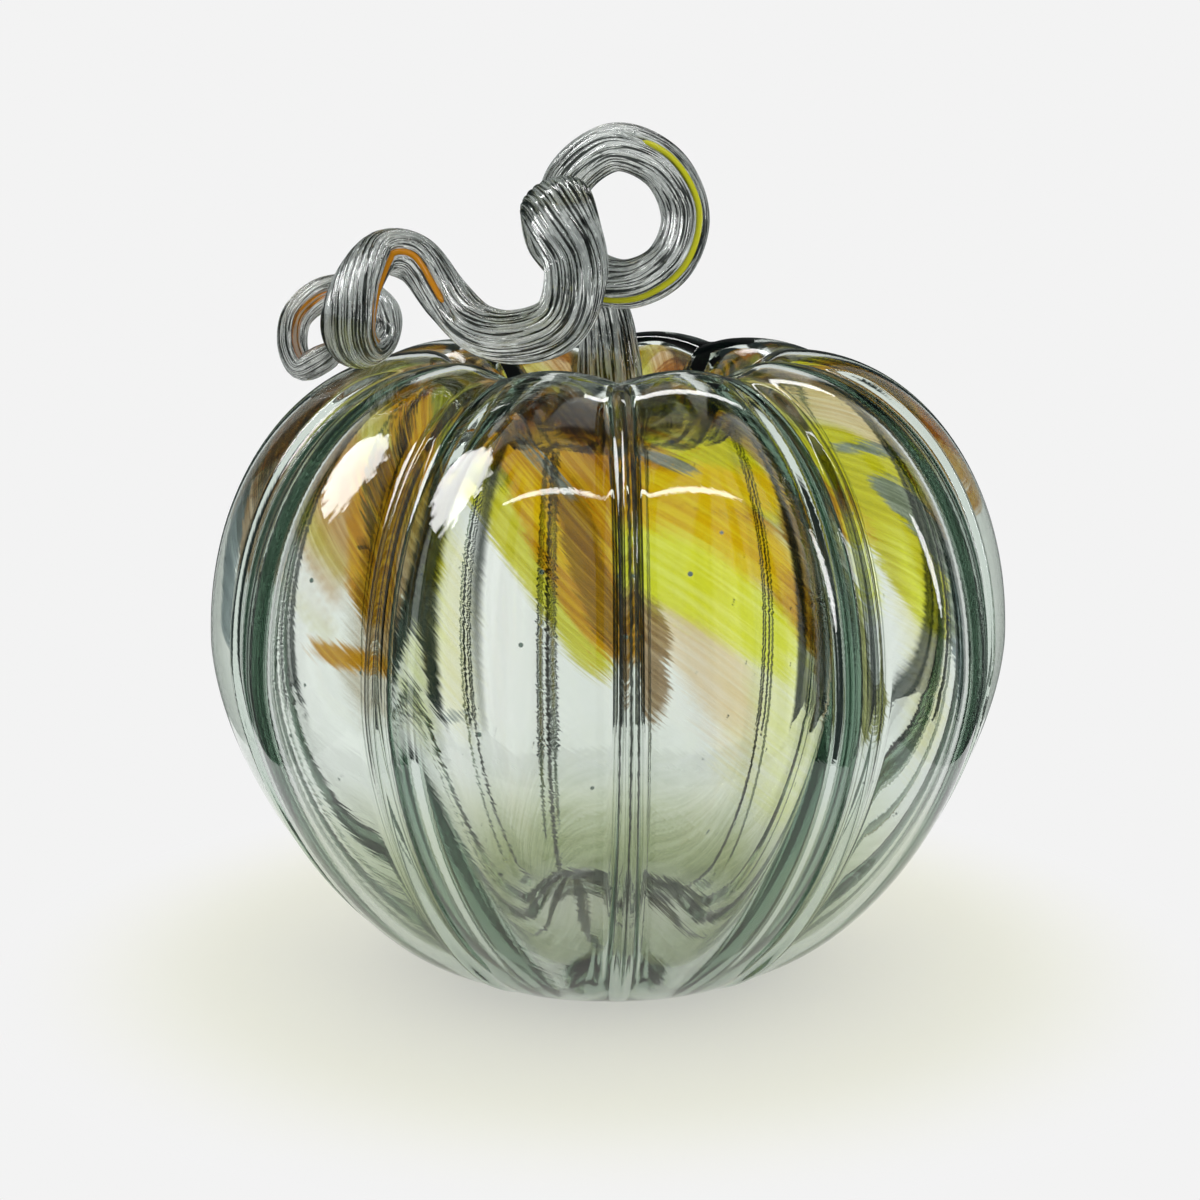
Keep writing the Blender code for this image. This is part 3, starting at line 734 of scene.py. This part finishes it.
def winding_axes(centres):
    """Wide axis of the flattened cane: an untwisted frame turned by the angle to the axis of each turn,
    averaged along the cane with the square of the bend as its weight; half a turn counts as none."""
    tangents = directions(centres)
    count = len(centres)
    carried = np.zeros_like(centres)
    carried[0] = np.cross((1.0, 0.0, 0.0), tangents[0])
    for row in range(count):
        before = carried[max(row - 1, 0)]
        carried[row] = before - np.dot(before, tangents[row]) * tangents[row]
        carried[row] /= np.linalg.norm(carried[row])
    beside = np.cross(carried, tangents)
    rows = np.arange(count)
    earlier = tangents[np.maximum(rows - BEND_SPAN, 0)]
    later = tangents[np.minimum(rows + BEND_SPAN, count - 1)]
    axes = np.cross(earlier, later)
    bends = np.sum(axes ** 2, axis=1)
    angles = np.arctan2(np.sum(axes * beside, axis=1), np.sum(axes * carried, axis=1))
    reference = None
    for row in range(count):
        if reference is not None:
            angles[row] -= np.pi * np.round((angles[row] - reference) / np.pi)
        if bends[row] > SHARP_BEND:
            reference = angles[row]
    weights = bends + LEAST_WEIGHT
    weights[:int(UPRIGHT_SHARE * count)] = UPRIGHT_WEIGHT
    sums = weights * angles
    for _ in range(EVENING_ROUNDS):
        weights = evened(weights)
        sums = evened(sums)
    turned = (sums / weights)[:, None]
    return np.cos(turned) * carried + np.sin(turned) * beside


def on_span(share, span):
    """1 on a thread's part of the stem, easing to 0 just past its ends."""
    rise = smooth((share - span[0] + GROOVE_RUN_OUT) / GROOVE_RUN_OUT)
    return rise * smooth((span[1] + GROOVE_RUN_OUT - share) / GROOVE_RUN_OUT)


# The section's axes are found on a coarse row of points and spread over the fine one.
route = np.array(STEM_ROUTE)
coarse = even_curve(route, FRAME_STATIONS)[0]
centres, stem_length = even_curve(route, STEM_STATIONS)
tangents = directions(centres)
station = np.linspace(0.0, FRAME_STATIONS - 1, STEM_STATIONS)
coarse_wide = winding_axes(coarse)
wide = np.column_stack([np.interp(station, np.arange(FRAME_STATIONS), column) for column in coarse_wide.T])
wide = wide - np.sum(wide * tangents, axis=1)[:, None] * tangents
wide = wide / np.linalg.norm(wide, axis=1)[:, None]
thin = np.cross(wide, tangents)

along_stem = np.linspace(0.0, 1.0, STEM_STATIONS)
flare = np.exp(-((along_stem * stem_length / STEM_FLARE_LENGTH) ** 2))
taper = 1.0 - (1.0 - STEM_TIP_SCALE) * smooth((along_stem - STEM_TAPER_FROM) / (1.0 - STEM_TAPER_FROM))
to_tip = np.minimum((1.0 - along_stem) * stem_length / (STEM_THICKNESS * STEM_TIP_SCALE), 1.0)
taper = taper * np.sqrt(1.0 - (1.0 - to_tip) ** 2) * (1.0 + STEM_FLARE * flare)
half_thick = 0.5 * STEM_THICKNESS * taper
half_wide = 0.5 * (STEM_WIDTH + (STEM_THICKNESS - STEM_WIDTH) * flare) * taper


def stem_point(side, depth):
    """Point of the cane's section at an angle round it, sunk by a share of its half width: a flat ellipse
    on the wide and thin axes that turns slowly along the cane."""
    turned = side + STEM_TWIST * along_stem[:, None]
    reach = half_wide[:, None, None] * np.cos(turned)[..., None] * wide[:, None, :]
    reach = reach + half_thick[:, None, None] * np.sin(turned)[..., None] * thin[:, None, :]
    return centres[:, None, :] + (1.0 - depth)[..., None] * reach


# Depth of the ribs and of the grooves for the threads, then the foot under the cane.
side = 2 * np.pi * np.arange(STEM_SIDES)[None, :] / STEM_SIDES
rib_depth = STEM_RIB_DEPTH * (0.5 - 0.5 * np.cos(STEM_RIBS * side))
sunk = rib_depth * (1.0 - RIB_LOSS_AT_FLARE * flare[:, None])
for groove_side, span in ((LIME_SIDE, LIME_SPAN), (AMBER_SIDE, AMBER_SPAN)):
    round_from_groove = (side - groove_side + np.pi) % (2 * np.pi) - np.pi
    groove = THREAD_GROOVE * np.exp(-((round_from_groove / THREAD_GROOVE_WIDTH) ** 2))
    sunk = np.maximum(sunk, groove * on_span(along_stem, span)[:, None])
cane_points = stem_point(side, sunk)
foot_across = np.array([wide[0][0], wide[0][1], 0.0]) / np.hypot(wide[0][0], wide[0][1])
foot_beside = np.cross(foot_across, (0.0, 0.0, 1.0))
foot_ring = np.cos(side).T * foot_across + np.sin(side).T * foot_beside
foot_heights = (STEM_SEAT + FOOT_RISES)[:, None, None] * (0.0, 0.0, 1.0)
foot_points = FOOT_RADII[:, None, None] * foot_ring[None] + foot_heights
stem_verts, stem_faces = closed_round(np.concatenate([foot_points, cane_points]))
way_along = np.concatenate([np.zeros(len(FOOT_RADII)), along_stem])[:, None]
stem_grain = np.stack(np.broadcast_arrays(np.cos(side), np.sin(side), way_along), axis=-1)

stem_mesh = bpy.data.meshes.new("cane_stem")
stem_mesh.from_pydata(stem_verts.tolist(), [], stem_faces)
stem_mesh.shade_smooth()
store(stem_mesh, "grain", ring_values(stem_grain))

CANE_SHADE = (0.010, 0.012, 0.011, 1.0)
CANE_PALE = (0.93, 0.95, 0.92, 1.0)
CANE_SMOKE = (0.48, 0.56, 0.52, 1.0)
CANE_DENSITY = 14.0
CANE_MILKY_HIGHLIGHT = (0.78, 0.84, 0.82, 1.0)
HIGHLIGHT_MILKINESS = 0.28
MILKY_HIGHLIGHT_EDGE = (0.47, 0.56)
STREAKS = (11.0, 11.0, 26.0)
STREAK_EDGE = (0.43, 0.47)
STREAK_DEPTH = 0.00022
SUNK_AMBER = (0.30, 0.05, 0.0005, 1.0)
SUNK_AMBER_SIDE = (0.955, 0.975)
SUNK_AMBER_STARTS = (0.887, 0.907)

stem_glass, cane = fresh_material("grey_green_cane")
on_cane = cane.node("ShaderNodeAttribute", {"attribute_name": "grain"}, output="Vector")
# Dark streaks of painted shade and pale streaks run along the cane, and the palest are milky, a painted
# highlight.
lines = cane.node("ShaderNodeVectorMath", {"operation": "MULTIPLY"}, {0: on_cane, 1: STREAKS})
streak = cane.node("ShaderNodeTexNoise", inputs={"Vector": lines, "Scale": 1.0, "Detail": 1.0})
cane_colour_and_shade = streak.step(*STREAK_EDGE).mix(CANE_SHADE, CANE_PALE)
# The amber thread shows again in the last curl, sunk under the surface.
amber_side = (math.cos(AMBER_SIDE), math.sin(AMBER_SIDE), 0.0)
toward_amber = cane.node("ShaderNodeVectorMath", {"operation": "DOT_PRODUCT"},
                         {0: on_cane, 1: amber_side}, "Value")
along_cane = cane.node("ShaderNodeSeparateXYZ", inputs={0: on_cane}, output="Z")
sunk_amber = toward_amber.step(*SUNK_AMBER_SIDE) * along_cane.step(*SUNK_AMBER_STARTS)
cane_colour_and_shade = sunk_amber.mix(cane_colour_and_shade, SUNK_AMBER)
ridges = cane.node("ShaderNodeBump", inputs={"Height": streak, "Distance": STREAK_DEPTH, "Strength": 1.0})
cane_wall = cane.node("ShaderNodeBsdfPrincipled", inputs={
    "Base Color": cane_colour_and_shade, "Roughness": 0.0, "IOR": 1.5, "Transmission Weight": 1.0, "Normal": ridges})
cane_smoke = cane.node("ShaderNodeVolumeAbsorption", inputs={"Color": CANE_SMOKE, "Density": CANE_DENSITY})
milky_highlight = cane.node("ShaderNodeBsdfPrincipled", inputs={"Base Color": CANE_MILKY_HIGHLIGHT, "Roughness": 0.10, "IOR": 1.5})
highlight_share = streak.step(*MILKY_HIGHLIGHT_EDGE) * HIGHLIGHT_MILKINESS
cane_mix = cane.node("ShaderNodeMixShader", inputs={0: highlight_share, 1: cane_wall, 2: milky_highlight})
cane.node("ShaderNodeOutputMaterial", inputs={"Surface": cane_mix, "Volume": cane_smoke})
stem_mesh.materials.append(stem_glass)
stem = bpy.data.objects.new("cane_stem", stem_mesh)
scene.collection.objects.link(stem)
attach(stem, "root")
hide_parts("stem")


# Threads: two thin opaque canes, lime on the ring, amber on the inner side of the arch and down its leg.
# Each lies melted into a groove of the stem and stands a little proud of it, fire-polished.
THREAD_RADIUS = 0.0006
THREAD_SIDES = 16
THREAD_SUNK = 0.13
THREAD_END_STEPS = 4.0
THREADS = (
    ("lime_thread", "lime_cane", LIME_SIDE, LIME_SPAN, (0.52, 0.52, 0.02, 1.0)),
    ("amber_thread", "amber_cane", AMBER_SIDE, AMBER_SPAN, (0.50, 0.20, 0.008, 1.0)),
)


def thread_points(path, radius):
    """A round tube along a path: circles square to it, rounded off over the last steps of both ends."""
    forward = directions(path)
    across = np.cross(forward, (0.0, 1.0, 0.0))
    across = across / np.linalg.norm(across, axis=1)[:, None]
    over = np.cross(across, forward)
    to_end = np.minimum(np.arange(len(path)), np.arange(len(path))[::-1])
    girth = radius * np.sqrt(1.0 - (1.0 - np.minimum(to_end / THREAD_END_STEPS, 1.0)) ** 2)
    turn = 2 * np.pi * np.arange(THREAD_SIDES) / THREAD_SIDES
    ring = np.cos(turn)[None, :, None] * across[:, None, :] + np.sin(turn)[None, :, None] * over[:, None, :]
    return path[:, None, :] + girth[:, None, None] * ring


for name, slot, groove_side, span, colour in THREADS:
    bed = stem_point(np.array([[groove_side]]), np.full((1, 1), THREAD_SUNK))[:, 0]
    bed = bed[(along_stem >= span[0]) & (along_stem <= span[1])]
    thread_verts, thread_faces = closed_round(thread_points(bed, THREAD_RADIUS))
    thread_mesh = bpy.data.meshes.new(name + "_cane")
    thread_mesh.from_pydata(thread_verts.tolist(), [], thread_faces)
    thread_mesh.shade_smooth()
    thread_glass, opaque = fresh_material(slot)
    skin = opaque.node("ShaderNodeBsdfPrincipled", inputs={
        "Base Color": colour, "Roughness": 0.08, "IOR": 1.5})
    opaque.node("ShaderNodeOutputMaterial", inputs={"Surface": skin})
    thread_mesh.materials.append(thread_glass)
    thread = bpy.data.objects.new(name + "_cane", thread_mesh)
    scene.collection.objects.link(thread)
    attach(thread, "root")
    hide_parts(name)
